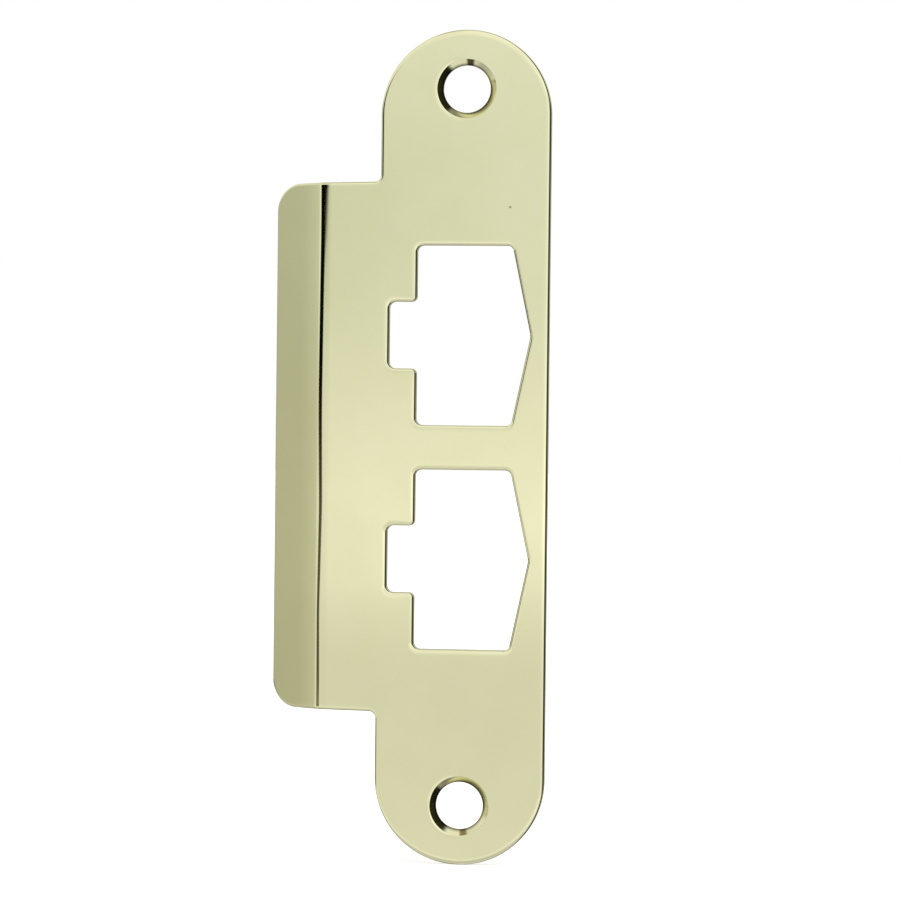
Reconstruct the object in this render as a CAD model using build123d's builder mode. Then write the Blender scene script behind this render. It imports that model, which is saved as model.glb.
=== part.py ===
from build123d import *
import os

# Strike plate cover: one piece of polished brass sheet, stamped and folded once.
# A long plate with full-round ends carries two latch openings, one above the other,
# and a countersunk screw hole near each end. A wide tab on its left side ends in a lip
# that is folded back to lead the latch in.
# Frame, in millimetres: +Z up along the plate, +X to the right as seen from the front,
# the front face towards -Y. The back face lies on Y = 0 and the origin is midway
# between the two screw holes.

# Plate
plate_length = 150.0
plate_width = 30.7
sheet_thickness = 1.5
front_edge_radius = 0.45  # rounded by stamping and polishing, on the front only

# Tab and folded lip
tab_root_height = 95.5  # where the tab leaves the plate
tab_taper = 1.0  # degrees, each of the two ends
tab_reach = 10.0  # from the plate's side to the start of the fold
tab_root_radius = 1.3
fold_inner_radius = 2.0
lip_angle = 25.0  # degrees, away from the front
lip_length = 9.0  # straight part, after the fold
lip_corner_radius = 5.0

# Latch openings
opening_pitch = 40.3
opening_width = 17.2
opening_height = 32.3
opening_corner_radius = 1.2
notch_depth = 5.0
notch_height = 12.0
notch_mouth_radius = 1.0
point_depth = 3.4  # how far the right side comes to a blunt point
point_radius = 3.0

# Screw holes
screw_from_end = 10.6  # hole's middle to the end of the plate
screw_hole_diameter = 8.5
countersink_diameter = 10.7
countersink_angle = 90.0  # degrees

# Worked out from the sizes above
plate_side = plate_width / 2
fold_start = plate_side + tab_reach
past_the_lip = tab_reach + fold_inner_radius + sheet_thickness + lip_length
screw_spacing = plate_length - 2 * screw_from_end

# For picking corners and faces
same_place = 1e-4  # two corners this close are one
facing_front = -0.5  # a face whose outward normal has a lower Y looks to the front


def lies_at(vertex, x, y):
    # True for a sketch corner at x, on either side of the middle at height y.
    return abs(vertex.X - x) < same_place and abs(abs(vertex.Y) - y) < same_place


with BuildSketch() as latch_opening:
    Rectangle(opening_width, opening_height)
    with Locations((-opening_width / 2, 0)):
        Rectangle(notch_depth, notch_height, align=(Align.MAX, Align.CENTER))
    with BuildLine():
        Polyline(
            (opening_width / 2, opening_height / 2),
            (opening_width / 2 + point_depth, 0),
            (opening_width / 2, -opening_height / 2),
            close=True,
        )
    make_face()
    mouth_corners = latch_opening.vertices().filter_by(
        lambda corner: lies_at(corner, -opening_width / 2, notch_height / 2)
    )
    fillet(mouth_corners, notch_mouth_radius)
    inside_corners = latch_opening.vertices().filter_by(
        lambda corner: lies_at(corner, -opening_width / 2, opening_height / 2)
        or lies_at(corner, opening_width / 2, opening_height / 2)
        or lies_at(corner, -opening_width / 2 - notch_depth, notch_height / 2)
    )
    fillet(inside_corners, opening_corner_radius)
    point_corner = latch_opening.vertices().filter_by(
        lambda corner: lies_at(corner, opening_width / 2 + point_depth, 0)
    )
    fillet(point_corner, point_radius)


with BuildPart() as strike_plate_cover:
    # The sheet as seen from above: flat, folded, then straight again along the lip.
    with BuildSketch(Plane.XY):
        with BuildLine():
            flat = Line((plate_side, 0), (-fold_start, 0))
            fold = JernArc(flat @ 1, flat % 1, fold_inner_radius, -lip_angle)
            PolarLine(fold @ 1, lip_length, direction=fold % 1)
            offset(amount=sheet_thickness, side=Side.LEFT)
        make_face()
    extrude(amount=plate_length / 2, both=True)

    # The outline as seen from the front is stamped out of that sheet.
    with BuildSketch(Plane.XZ) as outline:
        SlotOverall(plate_length, plate_width, rotation=90)
        with Locations((-plate_side, 0)):
            Trapezoid(
                tab_root_height,
                past_the_lip,
                90 - tab_taper,
                rotation=90,
                align=(Align.CENTER, Align.MIN),
            )
        root_corners = outline.vertices().filter_by(
            lambda corner: lies_at(corner, -plate_side, tab_root_height / 2)
        )
        fillet(root_corners, tab_root_radius)
    extrude(amount=past_the_lip, both=True, mode=Mode.INTERSECT)

    # The lip's two outer corners are well rounded.
    lip_end = strike_plate_cover.faces().sort_by(Axis.X)[0]
    fillet(lip_end.edges().sort_by(SortBy.LENGTH)[:2], lip_corner_radius)

    with BuildSketch(Plane.XZ):
        with GridLocations(0, opening_pitch, 1, 2):
            add(latch_opening.sketch)
    extrude(amount=sheet_thickness, mode=Mode.SUBTRACT)

    # Every edge of the front is softened, except the two lines where the fold begins and ends.
    front_faces = strike_plate_cover.faces().filter_by(
        lambda face: face.normal_at(face.center()).Y < facing_front
    )
    front_edges = front_faces.edges()
    rim = [edge for edge in front_edges if front_edges.count(edge) == 1]
    fillet(rim, front_edge_radius)

    with Locations(Plane.XZ.offset(sheet_thickness)):
        with GridLocations(0, screw_spacing, 1, 2):
            CounterSinkHole(
                screw_hole_diameter / 2,
                countersink_diameter / 2,
                counter_sink_angle=countersink_angle,
            )

strike_plate_cover.part.label = "strike_plate_cover"

os.makedirs("parts", exist_ok=True)
export_step(strike_plate_cover.part, "parts/strike_plate_cover.step")
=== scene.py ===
import math
import bpy
import numpy as np
from mathutils import Matrix, Vector
from mathutils.geometry import delaunay_2d_cdt


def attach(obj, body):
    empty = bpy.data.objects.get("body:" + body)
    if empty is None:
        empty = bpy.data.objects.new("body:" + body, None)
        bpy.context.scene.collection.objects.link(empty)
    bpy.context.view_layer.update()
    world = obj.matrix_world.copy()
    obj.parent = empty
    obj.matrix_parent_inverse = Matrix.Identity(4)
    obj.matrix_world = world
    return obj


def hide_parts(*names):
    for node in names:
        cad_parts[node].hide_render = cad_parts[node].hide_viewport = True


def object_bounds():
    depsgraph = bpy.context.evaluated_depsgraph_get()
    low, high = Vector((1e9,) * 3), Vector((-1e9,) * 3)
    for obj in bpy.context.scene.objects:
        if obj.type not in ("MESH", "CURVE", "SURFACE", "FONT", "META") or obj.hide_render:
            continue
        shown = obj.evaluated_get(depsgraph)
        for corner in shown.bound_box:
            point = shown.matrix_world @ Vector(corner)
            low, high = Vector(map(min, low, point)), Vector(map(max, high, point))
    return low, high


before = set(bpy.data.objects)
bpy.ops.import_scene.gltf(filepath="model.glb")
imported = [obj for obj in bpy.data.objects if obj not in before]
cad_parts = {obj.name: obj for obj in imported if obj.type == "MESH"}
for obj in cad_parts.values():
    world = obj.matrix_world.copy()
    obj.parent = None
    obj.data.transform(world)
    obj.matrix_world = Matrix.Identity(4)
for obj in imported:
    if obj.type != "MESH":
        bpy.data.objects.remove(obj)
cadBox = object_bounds()
scene = bpy.context.scene
scene.view_settings.view_transform = "Standard"
mm = 0.001  # metres
tiny = 1e-6  # mm, or a share of a length: closer than this is the same place
print("frame loaded, box in mm", [[round(v / mm, 2) for v in corner] for corner in cadBox])


def linearFromHex(code):
    parts = [int(code[i:i + 2], 16) / 255 for i in (1, 3, 5)]
    return [p / 12.92 if p <= 0.04045 else ((p + 0.055) / 1.055) ** 2.4 for p in parts] + [1.0]


# inputs: socket name or number -> a value, or another node's output to link
# stops: a colour ramp's positions and colours
def addNode(tree, kind, inputs=None, stops=None, **settings):
    node = tree.nodes.new(kind)
    for name, value in settings.items():
        setattr(node, name, value)
    for key, value in (inputs or {}).items():
        if isinstance(value, bpy.types.NodeSocket):
            tree.links.new(value, node.inputs[key])
        else:
            node.inputs[key].default_value = value
    if stops:
        elements = node.color_ramp.elements
        while len(elements) < len(stops):
            elements.new(1.0)
        for element, (position, colour) in zip(elements, stops):
            element.position = position
            element.color = colour
    return node


# The camera stands a little to the right of the plate and almost level with its middle.
cameraSet = dict(
    target=(0.0, -1.5, 0.0),  # mm, middle of the front face
    azimuth=7.2,  # degrees towards +X
    elevation=0.58,
    roll=0.64,  # degrees, the plate leans to the right at its top
    distance=600.0,  # mm
    focalPixels=3343.1,
    imageSize=900,
    targetPixel=(462.6, 447.75),
    sensorWidth=36.0,  # mm
    seesFrom=0.01, seesTo=50.0,  # metres
)


def makeCamera(c):
    az, el, roll = (math.radians(c[k]) for k in ("azimuth", "elevation", "roll"))
    target = Vector(c["target"])
    back = Vector((math.sin(az) * math.cos(el), -math.cos(az) * math.cos(el), math.sin(el)))
    place = target + back * c["distance"]
    right = Vector((0, 0, 1)).cross(back).normalized()
    up = back.cross(right)
    right, up = (right * math.cos(roll) + up * math.sin(roll),
                 up * math.cos(roll) - right * math.sin(roll))
    # turned a touch, so that the target lands on its pixel without any lens shift
    perPixel = c["distance"] / c["focalPixels"]
    across, down = (pixel - c["imageSize"] / 2 for pixel in c["targetPixel"])
    aim = target - right * across * perPixel + up * down * perPixel
    back = (place - aim).normalized()
    right = (right - back * right.dot(back)).normalized()
    up = back.cross(right)
    data = bpy.data.cameras.new("photoCamera")
    data.sensor_width = c["sensorWidth"]
    data.lens = c["focalPixels"] * data.sensor_width / c["imageSize"]
    data.clip_start, data.clip_end = c["seesFrom"], c["seesTo"]
    camera = bpy.data.objects.new("photoCamera", data)
    axes = Matrix((right, up, back)).transposed().to_4x4()
    axes.translation = place * mm
    camera.matrix_world = axes
    scene.collection.objects.link(camera)
    scene.camera = camera


makeCamera(cameraSet)
print("camera set")


# Studio: white all round for the camera. The metal sees a room with a soft window a little to the right of the
# camera, a black card to the left and a dark end to the right. Azimuth is in degrees from straight in front of
# the plate, right is plus. Each table has rows of azimuth or elevation and brightness, with the shares of green
# and blue where they aren't 1.
studio = dict(
    floorSize=8.0,  # metres
    floorGap=0.02,  # mm below the lowest point of the frame, whose round ends are cut into short straights
    floorWhite="#F4F4F2",
    floorGlow=0.62,  # share of the floor's white that the shadow leaves
    sunStrength=1.35,
    sunAngle=50.0,  # degrees across, for a soft shadow
    sunTilt=(18.0, 12.0),  # degrees about X and Y
    roomForFloor=0.35,  # strength of the world for all but the camera and the metal
    nearLevel=10.0,  # degrees up and down that the tables of the window, the card and the falls cover
    # azimuth, level with the plate
    around=[(-180, 0.9), (-168, 0.3), (-120, 0.26), (-97, 0.5), (-76, 0.64, 1.0, 0.92), (-66, 0.64, 1.0, 0.88),
            (-60.5, 0.65, 1.0, 0.88), (-57, 0.72, 1.0, 0.89), (-54, 0.8, 1.0, 0.9), (-50, 1.0, 1.0, 0.92),
            (-46, 1.04, 1.0, 0.95), (-40, 1.05), (-12, 0.985), (-8.6, 1.025), (-5, 1.015), (0, 1.08),
            (5, 1.2), (12, 1.2), (17, 0.9), (28, 0.3, 1.0, 0.9), (45, 0.1, 1.0, 0.75), (62, 0.05, 1.0, 0.6),
            (74, 0.03, 1.0, 0.5), (105, 0.02, 1.0, 0.5), (114, 0.1, 1.0, 0.7), (128, 0.55), (150, 0.75),
            (165, 0.9), (180, 0.9)],
    # azimuth, above and below that level, where the room is brighter and only its far right end is dark
    aboveBelow=[(-180, 0.9), (-165, 0.8), (-120, 0.75), (-97, 0.95), (-76, 0.8, 1.0, 0.95),
                (-60, 0.78, 1.0, 0.93), (-40, 1.0), (8, 1.03), (30, 0.92), (47, 0.7, 1.0, 0.97),
                (57, 0.12, 1.0, 0.8), (64, 0.02, 1.0, 0.6), (100, 0.02, 1.0, 0.6), (108, 0.15, 1.0, 0.9),
                (120, 0.62), (150, 0.85), (180, 0.9)],
    levelTo=8.0, aboveFrom=16.0,  # degrees up or down, where the one gives way to the other
    # elevation, from floor to ceiling
    upright=[(-90, 0.9), (-60, 0.66, 1.0, 1.04), (-35, 0.62, 1.0, 1.06), (-20, 0.74, 1.0, 1.04), (-13, 1.0),
             (-9, 0.92), (-7.2, 0.85), (-5.5, 0.82), (-4.2, 0.81, 1.0, 0.99), (-3.3, 0.84), (-2.6, 0.87),
             (-0.8, 0.87, 1.0, 1.01), (0.3, 0.845, 1.01, 1.02), (1.5, 0.85, 1.02, 1.04),
             (2.5, 0.87, 1.025, 1.06), (5.0, 0.88, 1.025, 1.06), (6.2, 0.905, 1.02, 1.06), (9, 1.0, 1.01, 1.03),
             (25, 1.08), (55, 1.05), (90, 1.0)],
    # degrees up and down, from and to, past which the bearing has no meaning
    ceilingFrom=54.0, ceilingTo=67.0, groundFrom=46.0, groundTo=58.0,
    overhead=(1.0, 1.0, 0.98),
    underneath=(0.9, 0.9, 0.9),
    behind=(0.5, 0.2),  # share of both that is left behind the plate, on the left and on the right
    behindAcross=(-0.1, 0.3), behindFrom=(-0.21, -0.07),  # where those begin, in the direction's X and Y
    # two small dark hoods to the left, above and below: direction and colour
    hoods=[((-0.3, -0.2, 0.933), (0.3, 0.24, 0.14)), ((-0.26, -0.18, -0.949), (0.07, 0.06, 0.04))],
    hoodBegin=0.982, hoodFull=0.997,  # cosine of how near a hood begins and is full
    # the window's light by elevation, and the degrees over which it fades to its sides
    window=dict(azimuth=6.0, wide=11.5, light=(0.4, 0.4, 0.44),
                rise=[(-10, 0.0), (-4.7, 0.0), (-4.0, 0.06), (-3.5, 0.26), (-3.0, 0.6), (-2.5, 0.78),
                      (-2.0, 0.86), (-1.4, 0.8), (-0.8, 0.66), (-0.1, 0.5), (0.6, 0.35), (1.5, 0.22),
                      (3.0, 0.1), (6.0, 0.0), (10, 0.0)]),
    # elevation and the azimuth of the card's two sides; it was cut by hand and leans in at its top
    cardRight=[(-10, -22.5), (-4.6, -22.5), (-3.4, -28.0), (-1.6, -15.9), (0.1, -23.7), (1.8, -19.3),
               (3.1, -14.0), (4.0, -12.8), (10, -12.8)],
    cardLeft=[(-10, -40.0), (-4.6, -40.0), (-3.4, -43.0), (-1.6, -34.5), (0.1, -46.5), (1.8, -42.8),
              (3.1, -39.5), (4.0, -41.5), (10, -41.5)],
    cardSoft=1.8, cardEnds=(6.8, 11.0),  # degrees, its soft sides and its two ends
    cardShade=[(-10, 0.18), (-5.6, 0.18), (-5.15, 0.33), (-4.6, 0.11), (-1.6, 0.09), (0.1, 0.003), (10, 0.003)],
    cardTint=(0.98, 0.72),  # shares of green and blue
    # the room falls off beside the top of the card, and low down on the left: how far by elevation and by
    # azimuth, and the most by colour
    falls=[dict(rise=[(-10, 0.0), (0.0, 0.0), (0.75, 0.16), (1.5, 0.5), (2.25, 0.84), (3.0, 1.0), (4.6, 1.0),
                      (5.6, 0.35), (10, 0.35)],
                round=[(-180, 0.0), (-40, 0.0), (-25, 1.0), (-12.8, 1.0), (-5.3, 0.0), (180, 0.0)],
                share=(0.2, 0.2, 0.28)),
           dict(rise=[(-10, 0.0), (-9.2, 1.0), (-5.4, 1.0), (-5.1, 0.0), (10, 0.0)],
                round=[(-180, 0.0), (-130, 0.0), (-110, 1.0), (-70, 1.0), (-64, 0.0), (180, 0.0)],
                share=(0.75, 0.75, 0.75))],
)


# a colour ramp's stops for a table that runs from -reach to reach
def rampStops(table, reach, tint=(1.0, 1.0)):
    stops = []
    for place, bright, *shares in table:
        green, blue = shares or tint
        stops.append(((place + reach) / (2 * reach), (bright, bright * green, bright * blue, 1.0)))
    return stops


def makeWorld(s):
    world = bpy.data.worlds.new("whiteRoom")
    scene.world = world
    world.use_nodes = True
    tree = world.node_tree
    tree.nodes.clear()
    calc, mix, spread, ramp = "ShaderNodeMath", "ShaderNodeMix", "ShaderNodeMapRange", "ShaderNodeValToRGB"
    colours, soft = dict(data_type="RGBA"), dict(interpolation_type="SMOOTHSTEP")
    direction = addNode(tree, "ShaderNodeTexCoord").outputs["Generated"]
    xyz = addNode(tree, "ShaderNodeSeparateXYZ", {0: direction}).outputs
    front = addNode(tree, calc, {0: xyz["Y"], 1: -1.0}, operation="MULTIPLY").outputs[0]
    turn = addNode(tree, calc, {0: xyz["X"], 1: front}, operation="ARCTAN2").outputs[0]
    azimuth = addNode(tree, calc, {0: turn}, operation="DEGREES").outputs[0]
    rise = addNode(tree, calc, {0: xyz["Z"]}, operation="ARCSINE").outputs[0]
    elevation = addNode(tree, calc, {0: rise}, operation="DEGREES").outputs[0]
    offLevel = addNode(tree, calc, {0: elevation}, operation="ABSOLUTE").outputs[0]
    # the place along each kind of table
    allRound, upDown, near = 180.0, 90.0, s["nearLevel"]  # degrees either way
    alongRound = addNode(tree, spread, {0: azimuth, 1: -allRound, 2: allRound}).outputs[0]
    alongRise = addNode(tree, spread, {0: elevation, 1: -upDown, 2: upDown}).outputs[0]
    alongNear = addNode(tree, spread, {0: elevation, 1: -near, 2: near}).outputs[0]
    # brightness around the room and from floor to ceiling
    level = addNode(tree, ramp, {0: alongRound}, rampStops(s["around"], allRound)).outputs[0]
    beyond = addNode(tree, ramp, {0: alongRound}, rampStops(s["aboveBelow"], allRound)).outputs[0]
    past = addNode(tree, spread, {0: offLevel, 1: s["levelTo"], 2: s["aboveFrom"]}, **soft).outputs[0]
    around = addNode(tree, mix, {0: past, 6: level, 7: beyond}, **colours).outputs[2]
    upright = addNode(tree, ramp, {0: alongRise}, rampStops(s["upright"], upDown)).outputs[0]
    room = addNode(tree, mix, {0: 1.0, 6: around, 7: upright}, **colours, blend_type="MULTIPLY").outputs[2]
    # the soft window, strongest below the middle of the plate, fades to its sides in a bell curve
    w = s["window"]
    aside = addNode(tree, spread, {0: azimuth, 1: w["azimuth"], 2: w["azimuth"] + w["wide"]},
                    clamp=False).outputs[0]
    asideSquared = addNode(tree, calc, {0: aside, 1: aside}, operation="MULTIPLY").outputs[0]
    halfFar = addNode(tree, calc, {0: asideSquared, 1: -0.5}, operation="MULTIPLY").outputs[0]
    across = addNode(tree, calc, {0: halfFar}, operation="EXPONENT").outputs[0]
    riseLight = addNode(tree, ramp, {0: alongNear}, rampStops(w["rise"], near)).outputs[0]
    glow = addNode(tree, calc, {0: across, 1: riseLight}, operation="MULTIPLY").outputs[0]
    whole = addNode(tree, mix, {0: glow, 6: room, 7: (*w["light"], 1.0)}, **colours,
                    blend_type="ADD").outputs[2]
    # the places where the room falls off
    for f in s["falls"]:
        fallRise = addNode(tree, ramp, {0: alongNear}, rampStops(f["rise"], near)).outputs[0]
        fallRound = addNode(tree, ramp, {0: alongRound}, rampStops(f["round"], allRound)).outputs[0]
        fall = addNode(tree, calc, {0: fallRise, 1: fallRound}, operation="MULTIPLY").outputs[0]
        dimmed = tuple(1 - v for v in f["share"]) + (1.0,)
        whole = addNode(tree, mix, {0: fall, 6: whole, 7: dimmed}, **colours,
                        blend_type="MULTIPLY").outputs[2]
    # the black card, leaning in above and greyer below; the ramps hold its sides as shares of 90 degrees
    sides = []
    for name, way in (("cardRight", -1.0), ("cardLeft", 1.0)):
        rows = [(e, -a / upDown) for e, a in s[name]]
        share = addNode(tree, ramp, {0: alongNear}, rampStops(rows, near)).outputs[0]
        inside = addNode(tree, calc, {0: share, 1: upDown, 2: azimuth}, operation="MULTIPLY_ADD").outputs[0]
        sides.append(addNode(tree, spread, {0: inside, 1: -way * s["cardSoft"], 2: way * s["cardSoft"]},
                             **soft).outputs[0])
    between = addNode(tree, calc, {0: sides[0], 1: sides[1]}, operation="MULTIPLY").outputs[0]
    cardEnd = addNode(tree, spread, {0: offLevel, 1: s["cardEnds"][0], 2: s["cardEnds"][1], 3: 1.0, 4: 0.0},
                      **soft).outputs[0]
    onCard = addNode(tree, calc, {0: between, 1: cardEnd}, operation="MULTIPLY").outputs[0]
    shade = addNode(tree, ramp, {0: alongNear}, rampStops(s["cardShade"], near, s["cardTint"])).outputs[0]
    whole = addNode(tree, mix, {0: onCard, 6: whole, 7: shade}, **colours).outputs[2]
    # ceiling and floor, weaker behind the plate
    low = addNode(tree, calc, {0: elevation, 1: -1.0}, operation="MULTIPLY").outputs[0]
    up = addNode(tree, spread, {0: elevation, 1: s["ceilingFrom"], 2: s["ceilingTo"]}, **soft).outputs[0]
    down = addNode(tree, spread, {0: low, 1: s["groundFrom"], 2: s["groundTo"]}, **soft).outputs[0]
    (leftEnd, rightEnd), (frontEnd, backEnd) = s["behindAcross"], s["behindFrom"]
    least = addNode(tree, spread, {0: xyz["X"], 1: leftEnd, 2: rightEnd, 3: s["behind"][0],
                                   4: s["behind"][1]}).outputs[0]
    share = addNode(tree, spread, {0: xyz["Y"], 1: frontEnd, 2: backEnd, 3: 1.0, 4: least}, **soft).outputs[0]
    for part, light in ((up, s["overhead"]), (down, s["underneath"])):
        cap = addNode(tree, "ShaderNodeVectorMath", {0: light, 3: share}, operation="SCALE").outputs[0]
        whole = addNode(tree, mix, {0: part, 6: whole, 7: cap}, **colours).outputs[2]
    for way, dark in s["hoods"]:
        facing = addNode(tree, "ShaderNodeVectorMath", {0: direction, 1: way},
                         operation="DOT_PRODUCT").outputs["Value"]
        hood = addNode(tree, spread, {0: facing, 1: s["hoodBegin"], 2: s["hoodFull"]}, **soft).outputs[0]
        whole = addNode(tree, mix, {0: hood, 6: whole, 7: (*dark, 1.0)}, **colours).outputs[2]
    # plain white at strength 1 for the camera, the room for the metal, a weaker fill for the floor
    path = addNode(tree, "ShaderNodeLightPath").outputs
    forMetal = addNode(tree, calc, {0: path["Is Glossy Ray"], 1: path["Is Transmission Ray"]},
                       operation="MAXIMUM").outputs[0]
    fill = (s["roomForFloor"],) * 3 + (1.0,)
    metalOrFill = addNode(tree, mix, {0: forMetal, 6: fill, 7: whole}, **colours).outputs[2]
    colour = addNode(tree, mix, {0: path["Is Camera Ray"], 6: metalOrFill, 7: (1, 1, 1, 1)},
                     **colours).outputs[2]
    background = addNode(tree, "ShaderNodeBackground", {"Color": colour, "Strength": 1.0})
    addNode(tree, "ShaderNodeOutputWorld", {"Surface": background.outputs[0]})


def makeFloor(s):
    half = s["floorSize"] / 2
    low = cadBox[0][2] - s["floorGap"] * mm
    corners = [(-half, -half, low), (half, -half, low), (half, half, low), (-half, half, low)]
    data = bpy.data.meshes.new("paleFloor")
    data.from_pydata(corners, [], [(0, 1, 2, 3)])
    floor = bpy.data.objects.new("paleFloor", data)
    scene.collection.objects.link(floor)
    floor.visible_glossy = False  # the metal sees the room behind the floor
    # white card with a matt face: even and without gloss, so that only the soft shadow shows on it
    paint = bpy.data.materials.new("matt white board")
    paint.use_nodes = True
    tree = paint.node_tree
    tree.nodes.clear()
    path = addNode(tree, "ShaderNodeLightPath")
    glow = addNode(tree, "ShaderNodeMath", {0: path.outputs["Is Camera Ray"], 1: s["floorGlow"]},
                   operation="MULTIPLY")
    light = addNode(tree, "ShaderNodeEmission", {"Color": (1, 1, 1, 1), "Strength": glow.outputs[0]})
    matt = addNode(tree, "ShaderNodeBsdfDiffuse", {"Color": linearFromHex(s["floorWhite"])})
    both = addNode(tree, "ShaderNodeAddShader", {0: light.outputs[0], 1: matt.outputs[0]})
    addNode(tree, "ShaderNodeOutputMaterial", {"Surface": both.outputs[0]})
    data.materials.append(paint)
    lamp = bpy.data.lights.new("softOverhead", "SUN")
    lamp.energy = s["sunStrength"]
    lamp.angle = math.radians(s["sunAngle"])
    sun = bpy.data.objects.new("softOverhead", lamp)
    sun.rotation_euler = [math.radians(v) for v in s["sunTilt"]] + [0]
    sun.visible_glossy = False
    scene.collection.objects.link(sun)


makeWorld(studio)
makeFloor(studio)
print("white room, floor and soft overhead lamp set")


# The cover, flat as stamped: u along X, z up, depth from the front face, all in mm.
cover = dict(
    plateLength=150.0, plateWidth=30.7, thickness=1.5, frontRound=0.45, backBreak=0.1,
    leftRound=0.33,  # the front round of edges facing left
    tabRootHeight=95.5, tabTaper=1.0, tabReach=10.0, tabRootRadius=1.3,
    foldInner=2.0, lipAngle=25.0, lipCorner=5.0,
    lipLength=8.94,  # a touch less than the solid's 9, because the edge there is rounded less
    openingPitch=40.3, openingWidth=17.2, openingHeight=32.3, openingCorner=1.2,
    notchDepth=5.0, notchHeight=12.0, notchMouth=1.0, pointDepth=3.4, pointRadius=3.0,
    screwSpacing=128.8, screwHole=8.5, countersink=10.7, coneEdge=0.12,
    coneTilt=42.0,  # degrees; a touch flatter than the solid's 45, as the tool and the polish leave it
    coneMark=(0.1, 1.4),  # radians from the front, between which a hole's surface counts as its cone
    # the buffing wheel rolls the face over before each edge: gently on edges facing right, faster on those
    # facing left and furthest at the plate's two ends
    rollWidth=0.85, rollLeast=1.2, rollRight=5.0, rollLeft=4.0, rollDown=1.4, rollEnd=20.0,  # mm, then degrees
    rollRings=(0.0, 0.3, 0.5, 0.7, 0.85),  # shares of the roll's width
    notchSlim=0.65, notchNear=1.6,  # share and mm, how the roll narrows round the two convex corners of a notch
    sinkWidth=0.9, sinkRoll=9.0,  # mm and degrees, the roll beside the screw holes
    # angle and length of each stretch of the fold, from the plate to the lip: the sheet eases in and out of it
    folds=[(3.0, 1.2), (19.5, 1.19), (2.5, 3.5)],
    # how finely the mesh is cut: in counts, then degrees, then mm
    foldSlices=(4, 20, 6), roundSteps=8, softSteps=3, coneSteps=6, screwPoints=96, arcLeast=4,
    arcTurn=9.0,
    arcStep=0.4, lineStep=2.0, lineGap=0.2, gridStep=1.6, gridFromEdge=0.8, gridFromFold=0.6,
    sliceReach=44.0, sliceStep=4.0, fillNear=1e-7,
    pit=(8.02, 43.17), pitRadius=0.32, pitDepth=0.05, pitSteps=4, pitPoints=16,
    pitClear=3.0,  # radii round it that the grid leaves free
)


# corners: (u, z, radius), with the metal on the left of the way round
def roundedLoop(corners, c, breaks=()):
    points, normals = [], []

    def put(p, d):
        if not points or np.hypot(*(p - points[-1])) > tiny:
            points.append(p)
            normals.append(np.array((d[1], -d[0])))

    places = [np.array(k[:2], float) for k in corners]
    count = len(places)
    unit = [places[(i + 1) % count] - places[i] for i in range(count)]
    unit = [d / np.hypot(*d) for d in unit]
    turns, reaches = [], []
    for i in range(count):
        before, after = unit[i - 1], unit[i]
        turn = math.atan2(before[0] * after[1] - before[1] * after[0], before @ after)
        turns.append(turn)
        reaches.append(corners[i][2] * math.tan(abs(turn) / 2))
    for i in range(count):
        radius, turn, d = corners[i][2], turns[i], unit[i - 1]
        steps = max(c["arcLeast"], math.ceil(radius * abs(turn) / c["arcStep"]),
                    math.ceil(math.degrees(abs(turn)) / c["arcTurn"]))
        side = math.copysign(1.0, turn)
        start = places[i] - d * reaches[i]
        centre = start + side * radius * np.array((-d[1], d[0]))
        for k in range(steps + 1):
            sine, cosine = math.sin(turn * k / steps), math.cos(turn * k / steps)
            way = np.array((d[0] * cosine - d[1] * sine, d[0] * sine + d[1] * cosine))
            put(centre - side * radius * np.array((-way[1], way[0])), way)
        # straight run to the next corner, with a point at each break if it goes across the sheet
        d = unit[i]
        begin = places[i] + d * reaches[i]
        end = places[(i + 1) % count] - d * reaches[(i + 1) % count]
        length = np.hypot(*(end - begin))
        if length < tiny:
            continue
        along = set(np.linspace(0, 1, math.ceil(length / c["lineStep"]) + 1)[1:-1])
        if abs(d[0]) > abs(d[1]):
            cuts = [(u - begin[0]) / (end[0] - begin[0]) for u in breaks]
            cuts = [t for t in cuts if tiny < t < 1 - tiny]
            along = {t for t in along if all(abs(t - q) * length > c["lineGap"] for q in cuts)} | set(cuts)
        for t in sorted(along):
            put(begin + (end - begin) * t, d)
    if np.hypot(*(points[0] - points[-1])) < tiny:
        points.pop()
        normals.pop()
    return np.array(points), np.array(normals)


# A profile has rows of inset into the metal, depth, and how far the surface has turned from the front in
# radians. Each may be one number, or one for each point of the loop.
def rollRows(c, begin, width, tilt):
    drop = width * tilt / 3
    rows = [(begin + width * (1 - f), drop * f ** 3, tilt * f ** 2) for f in c["rollRings"]]
    return rows, drop


def backRows(c):
    b, t = c["backBreak"], c["thickness"]
    turns = [math.pi / 2 * (1 + k / c["softSteps"]) for k in range(c["softSteps"] + 1)]
    return [(b * (1 - math.sin(a)), t - b * (1 + math.cos(a)), a) for a in turns]


# r: the front round; width and tilt: the gentle roll before it
def edgeProfile(c, r, width, tilt):
    tilt = np.radians(tilt)
    rows, drop = rollRows(c, r * (1 - np.sin(tilt)), width, tilt)
    for k in range(c["roundSteps"] + 1):
        a = tilt + (math.pi / 2 - tilt) * k / c["roundSteps"]
        rows.append((r * (1 - np.sin(a)), drop + r * (np.cos(tilt) - np.cos(a)), a))
    rows.append((0.0, (r + c["thickness"]) / 2, math.pi / 2))
    return rows + backRows(c)


# how wide and how steep the roll is, by the way each point of the loop faces
def edgeRoll(c, away):
    right, left, down = (np.clip(v, 0, 1) ** 2 for v in (away[:, 0], -away[:, 0], -away[:, 1]))
    tilt = c["rollLeast"] + c["rollRight"] * right + c["rollLeft"] * left + c["rollDown"] * down
    return c["rollWidth"] * (1 - left / 2), tilt


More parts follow.
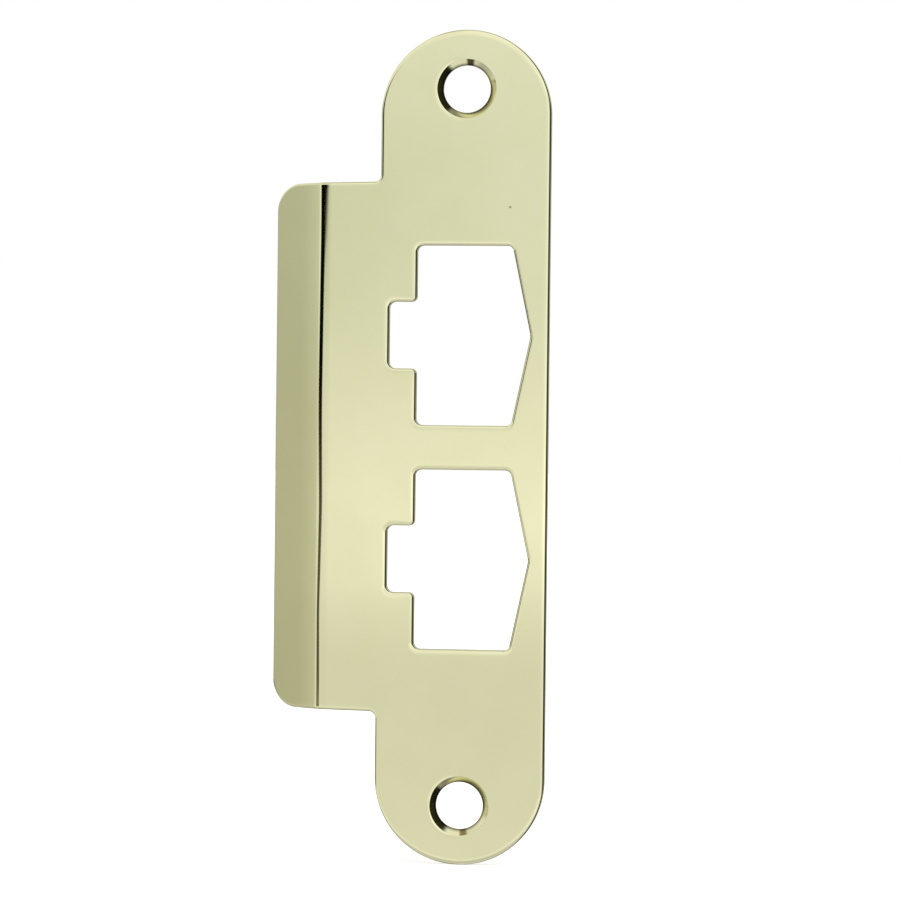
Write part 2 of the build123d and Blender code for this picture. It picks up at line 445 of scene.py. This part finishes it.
# softened mouth, cone, softened throat, short straight wall, back
# roll: how far the face has turned when it reaches the mouth
def screwProfile(c, roll):
    e, steps, cuts = c["coneEdge"], c["softSteps"], c["coneSteps"]
    sink = (c["countersink"] - c["screwHole"]) / 2
    tilt = math.radians(c["coneTilt"])
    steep = math.tan(tilt)
    mouth, throat = e * math.tan(tilt / 2), e * math.tan((math.pi / 2 - tilt) / 2)
    start = sink + mouth - c["sinkWidth"] * roll / 3 / steep
    rows, drop = rollRows(c, start - e * np.sin(roll), c["sinkWidth"], roll)
    for k in range(steps + 1):
        a = roll + (tilt - roll) * k / steps
        rows.append((start - e * np.sin(a), drop + e * (np.cos(roll) - np.cos(a)), a))
    top, low = sink - mouth * math.cos(tilt), throat * math.cos(tilt)
    for k in range(1, cuts):
        inset = top + (low - top) * k / cuts
        rows.append((inset, (sink - inset) * steep, tilt))
    for k in range(steps + 1):
        a = tilt + (math.pi / 2 - tilt) * k / steps
        rows.append((e * (1 - math.sin(a)), sink * steep + throat - e * math.cos(a), a))
    return rows + backRows(c)


def insideLoop(points, loop):
    x, z = points[:, 0:1], points[:, 1:2]
    x0, z0 = loop[:, 0], loop[:, 1]
    x1, z1 = np.roll(x0, -1), np.roll(z0, -1)
    crosses = (z0 > z) != (z1 > z)
    with np.errstate(divide="ignore", invalid="ignore"):
        at = x0 + (z - z0) * (x1 - x0) / (z1 - z0)
    return (crosses & (x < at)).sum(1) % 2 == 1


# inside the first loop, the outline, and outside the others
def insideSheet(points, loops):
    inside = insideLoop(points, loops[0])
    for loop in loops[1:]:
        inside &= ~insideLoop(points, loop)
    return inside


# how far each point is from the nearest point of a line, a stretch of the line at a time to save memory
def gapTo(points, line, stretch=200):
    gap = np.full(len(points), np.inf)
    for start in range(0, len(line), stretch):
        part = line[start:start + stretch]
        gap = np.minimum(gap, np.hypot(points[:, None, 0] - part[None, :, 0],
                                       points[:, None, 1] - part[None, :, 1]).min(1))
    return gap


# where each stretch of the fold begins and ends along the flat sheet, so that the lip lies where the solid's is
def foldStations(c):
    whole = math.radians(c["lipAngle"])
    outer = c["foldInner"] + c["thickness"]
    middle = -c["plateWidth"] / 2 - c["tabReach"] - outer * math.tan(whole / 2)
    along, weighted = 0.0, 0.0
    for angle, length in c["folds"]:
        weighted += angle * (along + length / 2)
        along += length
    stations = [middle + weighted / c["lipAngle"]]
    for angle, length in c["folds"]:
        stations.append(stations[-1] - length)
    return stations


def lipEndFlat(c):
    outer = c["foldInner"] + c["thickness"]
    return -c["plateWidth"] / 2 - c["tabReach"] - outer * math.radians(c["lipAngle"]) - c["lipLength"]


# every edge of the sheet: its points, the way each faces, its profile, and 1 if it is a screw hole's
def coverLoops(c, slices):
    side, half, root = c["plateWidth"] / 2, c["plateLength"] / 2, c["tabRootHeight"] / 2
    lipEnd = lipEndFlat(c)
    tip = root - (-side - lipEnd) * math.tan(math.radians(c["tabTaper"]))
    outline = [(side, -half, side), (side, half, side), (-side, half, side), (-side, root, c["tabRootRadius"]),
               (lipEnd, tip, c["lipCorner"]), (lipEnd, -tip, c["lipCorner"]),
               (-side, -root, c["tabRootRadius"]), (-side, -half, side)]
    flat, away = roundedLoop(outline, c, slices)
    toEnd = np.clip((abs(flat[:, 1]) - (half - side)) / side, 0, 1)
    width, tilt = edgeRoll(c, away)
    left = np.clip(-away[:, 0], 0, 1) ** 2
    rounds = c["frontRound"] + (c["leftRound"] - c["frontRound"]) * left
    loops = [(flat, away, edgeProfile(c, rounds, width, tilt + c["rollEnd"] * toEnd ** 3), 0.0)]
    w, h, n = c["openingWidth"] / 2, c["openingHeight"] / 2, c["notchHeight"] / 2
    r, m, deep = c["openingCorner"], c["notchMouth"], -w - c["notchDepth"]
    opening = [(-w, h, r), (w, h, r), (w + c["pointDepth"], 0, c["pointRadius"]), (w, -h, r), (-w, -h, r),
               (-w, -n, m), (deep, -n, r), (deep, n, r), (-w, n, m)]
    for z in (c["openingPitch"] / 2, -c["openingPitch"] / 2):
        flat, away = roundedLoop([(x, y + z, q) for x, y, q in opening], c)
        width, tilt = edgeRoll(c, away)
        mouth = np.minimum(np.hypot(flat[:, 0] + w, flat[:, 1] - z - n),
                           np.hypot(flat[:, 0] + w, flat[:, 1] - z + n))
        width = width * (1 - c["notchSlim"] * np.exp(-(mouth / c["notchNear"]) ** 2))
        loops.append((flat, away, edgeProfile(c, c["frontRound"], width, tilt), 0.0))
    angles = np.linspace(0, -2 * math.pi, c["screwPoints"], endpoint=False)
    ring = np.stack((np.cos(angles), np.sin(angles)), 1)
    roll = math.radians(c["sinkRoll"]) * np.clip(-ring[:, 0], 0, 1)
    for z in (c["screwSpacing"] / 2, -c["screwSpacing"] / 2):
        loops.append((ring * c["screwHole"] / 2 + (0, z), -ring, screwProfile(c, roll), 1.0))
    return loops


# mark: rim, cone, pit and back
def addPoint(sheet, c, u, z, depth, normal, mark):
    sheet["points"].append((u * mm, (depth - c["thickness"]) * mm, z * mm))
    sheet["normals"].append(normal)
    sheet["marks"].append(mark)
    return len(sheet["points"]) - 1


# Edges are swept ring by ring from the front to the back. Returns the rings that bound each face.
def addEdges(sheet, c, loops):
    bounds = dict(front=[], back=[])
    coneFrom, coneTo = c["coneMark"]
    for flat, away, profile, cone in loops:
        rings = []
        for row in profile:
            insets, depths, turns = (np.broadcast_to(v, len(flat)) for v in row)
            ring = []
            for p, q, depth, turn in zip(flat - away * insets[:, None], away, depths, turns):
                sine, cosine = math.sin(turn), math.cos(turn)
                normal = (q[0] * sine, -cosine, q[1] * sine)
                mark = (sine, cone * (coneFrom < turn < coneTo), 0.0, max(0.0, -cosine))
                ring.append(addPoint(sheet, c, p[0], p[1], depth, normal, mark))
            rings.append(ring)
        for low, high in zip(rings, rings[1:]):
            for i in range(len(flat)):
                j = (i + 1) % len(flat)
                sheet["faces"].append((low[i], high[i], high[j], low[j]))
        for name, ring in (("front", rings[0]), ("back", rings[-1])):
            bounds[name].append((ring, np.array([sheet["points"][i] for i in ring])[:, (0, 2)] / mm))
    return bounds


# one of the two faces, filled between its rings with points no finer than it needs
def addFace(sheet, c, name, rings, slices):
    sign, level = (1, 0.0) if name == "front" else (-1, c["thickness"])
    plain = (0.0, 0.0, 0.0, float(name == "back"))
    places, owners, edges = [], [], []

    def put(u, z, depth=level, normal=(0, -sign, 0), mark=plain):
        places.append((u, z))
        owners.append(addPoint(sheet, c, u, z, depth, normal, mark))

    for ids, flat in rings:
        first = len(places)
        places += [tuple(p) for p in flat]
        owners += ids
        edges += [(first + i, first + (i + 1) % len(ids)) for i in range(len(ids))]
    loops = [flat for ids, flat in rings]
    outline = loops[0]
    # fold slices run straight across from end to end
    for u in slices:
        ends = np.argsort(abs(outline[:, 0] - u))[:2]
        low, high = (int(i) for i in sorted(ends, key=lambda i: outline[i, 1]))
        last = low
        for z in np.arange(-c["sliceReach"], c["sliceReach"] + c["sliceStep"] / 2, c["sliceStep"]):
            put(outline[low, 0], z)
            edges.append((last, len(places) - 1))
            last = len(places) - 1
        edges.append((last, high))
    # an even grid, kept clear of the edges, the fold and the pit
    step, side, half = c["gridStep"], c["plateWidth"] / 2, c["plateLength"] / 2
    grid = np.array([(u, z) for u in np.arange(lipEndFlat(c) + step / 2, side, step)
                     for z in np.arange(-half + step / 2, half, step)])
    pitU, pitZ = c["pit"]
    keep = insideSheet(grid, loops) & (gapTo(grid, np.concatenate(loops)) > c["gridFromEdge"])
    keep &= (grid[:, 0] > slices[0] + c["gridFromFold"]) | (grid[:, 0] < slices[-1] - c["gridFromFold"])
    keep &= np.hypot(grid[:, 0] - pitU, grid[:, 1] - pitZ) > c["pitClear"] * c["pitRadius"]
    for u, z in grid[keep]:
        put(u, z)
    if name == "front":
        # one small pit in the polish, and a level ring round it
        for k in range(c["pitSteps"] + 2):
            far = k / c["pitSteps"]
            fall = max(0.0, 1 - far * far)
            slope = -4 * far * fall * c["pitDepth"] / c["pitRadius"]
            for i in range(c["pitPoints"] if k else 1):
                a = 2 * math.pi * (i + 0.5 * (k % 2)) / c["pitPoints"]
                r = far * c["pitRadius"]
                normal = Vector((slope * math.cos(a), -1, slope * math.sin(a))).normalized()
                put(pitU + r * math.cos(a), pitZ + r * math.sin(a), c["pitDepth"] * fall ** 2, tuple(normal),
                    (0.0, 0.0, fall, 0.0))
    filled = delaunay_2d_cdt([Vector(p) for p in places], edges, [], 0, c["fillNear"])
    newPlaces = np.array([tuple(p) for p in filled[0]])
    triangles = np.array(filled[2])
    sources = [ids[0] for ids in filled[3]]
    for triangle in triangles[insideSheet(newPlaces[triangles].mean(1), loops)]:
        p, q, r = newPlaces[triangle]
        turn = (q[0] - p[0]) * (r[1] - p[1]) - (q[1] - p[1]) * (r[0] - p[0])
        face = [owners[sources[k]] for k in triangle]
        sheet["faces"].append(face if turn * sign > 0 else face[::-1])


def makeBlank(c):
    stations = foldStations(c)
    slices = stations[:1]
    for start, end, count in zip(stations, stations[1:], c["foldSlices"]):
        slices += [start + (end - start) * k / count for k in range(1, count + 1)]
    loops = coverLoops(c, slices)
    sheet = dict(points=[], normals=[], marks=[], faces=[])
    bounds = addEdges(sheet, c, loops)
    for name in ("front", "back"):
        addFace(sheet, c, name, bounds[name], slices)
    # distance to the nearest edge of the sheet, for the wear along it
    flatAll = np.array(sheet["points"])[:, (0, 2)] / mm
    edgeGap = gapTo(flatAll, np.concatenate([loop[0] for loop in loops]))
    data = bpy.data.meshes.new("strikePlateCover")
    data.from_pydata(sheet["points"], [], sheet["faces"])
    sheetNormal = data.attributes.new("sheetNormal", "FLOAT_VECTOR", "POINT")
    sheetNormal.data.foreach_set("vector", np.array(sheet["normals"], float).ravel())
    marks = np.array(sheet["marks"], float).T
    for name, values in zip(("rim", "cone", "pit", "back", "edgeGap"), (*marks, edgeGap)):
        data.attributes.new(name, "FLOAT", "POINT").data.foreach_set("value", np.ascontiguousarray(values))
    return data


# The press folds the flat blank: a tree with the fold's sizes as its inputs, all in metres.
def makeFoldTree():
    tree = bpy.data.node_groups.new("foldTheLip", "GeometryNodeTree")
    tree.interface.new_socket("Geometry", in_out="INPUT", socket_type="NodeSocketGeometry")
    for name in ("Fold Start", "Inner Radius", "Thickness", "Lip Angle"):
        tree.interface.new_socket(name, in_out="INPUT", socket_type="NodeSocketFloat")
    tree.interface.new_socket("Metal", in_out="INPUT", socket_type="NodeSocketMaterial")
    tree.interface.new_socket("Geometry", in_out="OUTPUT", socket_type="NodeSocketGeometry")
    given = addNode(tree, "NodeGroupInput").outputs
    start, inner, lipAngle = given["Fold Start"], given["Inner Radius"], given["Lip Angle"]
    calc = "ShaderNodeMath"
    position = addNode(tree, "GeometryNodeInputPosition").outputs[0]
    place = addNode(tree, "ShaderNodeSeparateXYZ", {0: position}).outputs
    outer = addNode(tree, calc, {0: inner, 1: given["Thickness"]}, operation="ADD").outputs[0]
    past = addNode(tree, calc, {0: start, 1: place["X"]}, operation="SUBTRACT").outputs[0]
    pastFold = addNode(tree, calc, {0: past, 1: 0.0}, operation="MAXIMUM").outputs[0]
    bend = addNode(tree, calc, {0: pastFold, 1: outer}, operation="DIVIDE").outputs[0]
    angle = addNode(tree, calc, {0: bend, 1: lipAngle}, operation="MINIMUM").outputs[0]
    arc = addNode(tree, calc, {0: outer, 1: angle}, operation="MULTIPLY").outputs[0]
    straight = addNode(tree, calc, {0: pastFold, 1: arc}, operation="SUBTRACT").outputs[0]
    radius = addNode(tree, calc, {0: inner, 1: place["Y"]}, operation="SUBTRACT").outputs[0]
    sine = addNode(tree, calc, {0: angle}, operation="SINE").outputs[0]
    cosine = addNode(tree, calc, {0: angle}, operation="COSINE").outputs[0]
    # x: flat part, less the turn and the straight lip; y: round the fold's centre, then along the lip
    flat = addNode(tree, calc, {0: place["X"], 1: start}, operation="MAXIMUM").outputs[0]
    turned = addNode(tree, calc, {0: radius, 1: sine}, operation="MULTIPLY").outputs[0]
    back = addNode(tree, calc, {0: radius, 1: cosine}, operation="MULTIPLY").outputs[0]
    lipX = addNode(tree, calc, {0: straight, 1: cosine, 2: turned}, operation="MULTIPLY_ADD").outputs[0]
    lipY = addNode(tree, calc, {0: straight, 1: sine, 2: inner}, operation="MULTIPLY_ADD").outputs[0]
    newX = addNode(tree, calc, {0: flat, 1: lipX}, operation="SUBTRACT").outputs[0]
    newY = addNode(tree, calc, {0: lipY, 1: back}, operation="SUBTRACT").outputs[0]
    newPlace = addNode(tree, "ShaderNodeCombineXYZ", {0: newX, 1: newY, 2: place["Z"]}).outputs[0]
    # the blank's own normals turn with the sheet
    flatNormal = addNode(tree, "GeometryNodeInputNamedAttribute", {"Name": "sheetNormal"},
                         data_type="FLOAT_VECTOR").outputs[0]
    turnBack = addNode(tree, calc, {0: angle, 1: -1.0}, operation="MULTIPLY").outputs[0]
    newNormal = addNode(tree, "ShaderNodeVectorRotate", {"Vector": flatNormal, "Angle": turnBack},
                        rotation_type="Z_AXIS").outputs[0]
    kept = addNode(tree, "GeometryNodeStoreNamedAttribute",
                   {"Geometry": given["Geometry"], "Name": "sheetNormal", "Value": newNormal},
                   data_type="FLOAT_VECTOR", domain="POINT").outputs[0]
    folded = addNode(tree, "GeometryNodeSetPosition", {"Geometry": kept, "Position": newPlace}).outputs[0]
    real = addNode(tree, "GeometryNodeRealizeInstances", {0: folded}).outputs[0]
    dressed = addNode(tree, "GeometryNodeSetMaterial",
                      {"Geometry": real, "Material": given["Metal"]}).outputs[0]
    addNode(tree, "NodeGroupOutput", {0: dressed})
    return tree


# Brass sheet, stamped and buffed to a mirror: a pale greenish yellow metal that shows the room almost
# sharply, under faint buffing lines and haze. Stamped walls are duller, with painted shade in their colour, the
# turned countersinks carry fine rings and painted shade deep inside, and the back keeps the satin lines of the
# rolling mill.
brass = dict(
    # wall: the stamped walls' colour, darker partly for duller metal and partly as painted shade
    metal="#E6E4BA", deep="#D9D5A4", bright="#EEECC6", wall="#8A8552", stain="#A5A380",
    roughness=(0.03, 0.06), wallRoughness=0.36, coneRoughness=0.1,
    lineWidth=0.3, lineLength=16.0,  # mm; real buffing lines are under 0.05 mm wide, drawn coarser to show
    hazeSize=11.0, waveSize=38.0, ringSize=0.12,  # mm
    lineDetail=3.0, hazeDetail=4.0, waveDetail=1.0, ringDetail=2.0,
    lineDepth=0.00008, waveDepth=0.005, ringDepth=0.001,  # mm
    hazeTint=(0.35, 0.75), hazeMost=0.25,  # part of the haze that takes the deep colour, and how much of it
    hazeRough=(0.3, 0.75), lineRough=0.015,  # part of the haze that roughens, and what the lines add
    wearWidth=0.8, wearMost=0.35,  # mm, and how much of the bright colour
    wallFrom=0.97,  # sine of the turn from the front, past which a surface counts as wall
    rolled="#D6D2A4", rolledRoughness=(0.15, 0.3), rolledPart=(0.3, 0.7),
    rolledLines=7.0,  # times as deep as the buffing lines
    # painted shade: the countersinks darken towards their throats, where shade falls
    coneThroatShade="#7C785A", coneShadeFrom=0.45, coneShadeTo=0.98,  # mm below the face
)


def makeBrass(b):
    metal = bpy.data.materials.new("polished brass, stamped and buffed")
    metal.use_nodes = True
    tree = metal.node_tree
    tree.nodes.clear()
    calc, mix, spread, noise = "ShaderNodeMath", "ShaderNodeMix", "ShaderNodeMapRange", "ShaderNodeTexNoise"
    colours, soft = dict(data_type="RGBA"), dict(interpolation_type="SMOOTHSTEP")
    inMetres = addNode(tree, "ShaderNodeTexCoord").outputs["Object"]
    inMm = addNode(tree, "ShaderNodeVectorMath", {0: inMetres, 3: 1 / mm}, operation="SCALE").outputs[0]
    rim, cone, pit, back, gap = (addNode(tree, "ShaderNodeAttribute", attribute_name=name).outputs["Fac"]
                                 for name in ("rim", "cone", "pit", "back", "edgeGap"))
    finer = (1 / b["lineWidth"], 1 / b["lineWidth"], 1 / b["lineLength"])
    stretch = addNode(tree, "ShaderNodeMapping", {"Vector": inMm, "Scale": finer}).outputs[0]
    lines = addNode(tree, noise, {"Vector": stretch, "Scale": 1.0, "Detail": b["lineDetail"]}).outputs[0]
    haze, wave = (addNode(tree, noise, {"Vector": inMm, "Scale": 1 / b[name + "Size"],
                                        "Detail": b[name + "Detail"]}).outputs[0] for name in ("haze", "wave"))
    # distance from the nearer screw hole's middle, for the turning rings
    xyz = addNode(tree, "ShaderNodeSeparateXYZ", {0: inMm}).outputs
    height = addNode(tree, calc, {0: xyz["Z"]}, operation="ABSOLUTE").outputs[0]
    fromHole = addNode(tree, calc, {0: height, 1: cover["screwSpacing"] / 2}, operation="SUBTRACT").outputs[0]
    flatPlace = addNode(tree, "ShaderNodeCombineXYZ", {0: xyz["X"], 1: fromHole}).outputs[0]
    ringRadius = addNode(tree, "ShaderNodeVectorMath", {0: flatPlace}, operation="LENGTH").outputs["Value"]
    rings = addNode(tree, noise, {"W": ringRadius, "Scale": 1 / b["ringSize"], "Detail": b["ringDetail"]},
                    noise_dimensions="1D").outputs[0]
    coneRings = addNode(tree, calc, {0: rings, 1: cone}, operation="MULTIPLY").outputs[0]
    # colour: slow haze, burnished edges, duller walls with some painted shade, painted shade deep in the cones,
    # the pit
    hazeMix = addNode(tree, spread, {0: haze, 1: b["hazeTint"][0], 2: b["hazeTint"][1], 3: 0.0,
                                     4: b["hazeMost"]}).outputs[0]
    wall = addNode(tree, spread, {0: rim, 1: b["wallFrom"], 2: 1.0}).outputs[0]
    wear = addNode(tree, spread, {0: gap, 1: b["wearWidth"], 2: 0.0, 3: 0.0, 4: b["wearMost"]},
                   **soft).outputs[0]
    wearOpen = addNode(tree, calc, {0: wear, 1: wall}, operation="SUBTRACT", use_clamp=True).outputs[0]
    depth = addNode(tree, calc, {0: xyz["Y"], 1: cover["thickness"]}, operation="ADD").outputs[0]
    # painted shade deep in each cone, growing towards the throat
    lowDown = addNode(tree, spread, {0: depth, 1: b["coneShadeFrom"], 2: b["coneShadeTo"]}, **soft).outputs[0]
    paintedThroatShade = addNode(tree, calc, {0: lowDown, 1: cone}, operation="MULTIPLY").outputs[0]
    colour = linearFromHex(b["metal"])
    for share, name in ((back, "rolled"), (hazeMix, "deep"), (wearOpen, "bright"), (wall, "wall"),
                        (paintedThroatShade, "coneThroatShade"), (pit, "stain")):
        colour = addNode(tree, mix, {0: share, 6: colour, 7: linearFromHex(b[name])}, **colours).outputs[2]
    # roughness: haze and lines on the front, satin lines on the back, more on walls and cones
    base = addNode(tree, spread, {0: haze, 1: b["hazeRough"][0], 2: b["hazeRough"][1], 3: b["roughness"][0],
                                  4: b["roughness"][1]}).outputs[0]
    roughness = addNode(tree, calc, {0: lines, 1: b["lineRough"], 2: base}, operation="MULTIPLY_ADD").outputs[0]
    satin = addNode(tree, spread, {0: lines, 1: b["rolledPart"][0], 2: b["rolledPart"][1],
                                   3: b["rolledRoughness"][0], 4: b["rolledRoughness"][1]}).outputs[0]
    for share, value in ((back, satin), (wall, b["wallRoughness"]), (cone, b["coneRoughness"])):
        roughness = addNode(tree, mix, {0: share, 2: roughness, 3: value}).outputs[0]
    # relief: slow waves left by the press, buffing lines, turning rings
    deeper = addNode(tree, calc, {0: back, 1: b["rolledLines"] - 1, 2: 1.0},
                     operation="MULTIPLY_ADD").outputs[0]
    scores = addNode(tree, calc, {0: lines, 1: deeper}, operation="MULTIPLY").outputs[0]
    below = {}
    for pattern, size in ((wave, "waveDepth"), (scores, "lineDepth"), (coneRings, "ringDepth")):
        relief = addNode(tree, "ShaderNodeBump", {"Height": pattern, "Strength": 1.0, "Distance": b[size] * mm,
                                                  **below}).outputs[0]
        below = {"Normal": relief}
    shader = addNode(tree, "ShaderNodeBsdfPrincipled", {"Base Color": colour, "Metallic": 1.0,
                                                        "Roughness": roughness, "Normal": relief})
    addNode(tree, "ShaderNodeOutputMaterial", {"Surface": shader.outputs[0]})
    return metal


def makeCover(c, metal):
    blank = bpy.data.objects.new("flatBlank", makeBlank(c))
    scene.collection.objects.link(blank)
    tree = makeFoldTree()
    sockets = {item.name: item.identifier for item in tree.interface.items_tree if item.in_out == "INPUT"}
    # the press works from the lip inwards, so that each stretch is still flat when it is bent
    for start, (angle, length) in reversed(list(zip(foldStations(c), c["folds"]))):
        fold = blank.modifiers.new("fold", "NODES")
        fold.node_group = tree
        inner = length / math.radians(angle) - c["thickness"]
        sizes = {"Fold Start": start * mm, "Inner Radius": inner * mm, "Thickness": c["thickness"] * mm,
                 "Lip Angle": math.radians(angle), "Metal": metal}
        for name, value in sizes.items():
            fold[sockets[name]] = value
    blank.update_tag()
    seen = blank.evaluated_get(bpy.context.evaluated_depsgraph_get())
    data = bpy.data.meshes.new_from_object(seen)
    data.name = "strikePlateCover"
    bpy.data.objects.remove(blank)
    normals = np.empty(len(data.vertices) * 3)
    data.attributes["sheetNormal"].data.foreach_get("vector", normals)
    data.polygons.foreach_set("use_smooth", [True] * len(data.polygons))
    data.normals_split_custom_set_from_vertices(normals.reshape(-1, 3).tolist())
    data.attributes.remove(data.attributes["sheetNormal"])
    data.update()
    piece = bpy.data.objects.new("strikePlateCover", data)
    scene.collection.objects.link(piece)
    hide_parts("strike_plate_cover")
    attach(piece, "root")
    return piece


coverPiece = makeCover(cover, makeBrass(brass))
print("cover folded,", len(coverPiece.data.vertices), "points,", len(coverPiece.data.polygons), "faces")
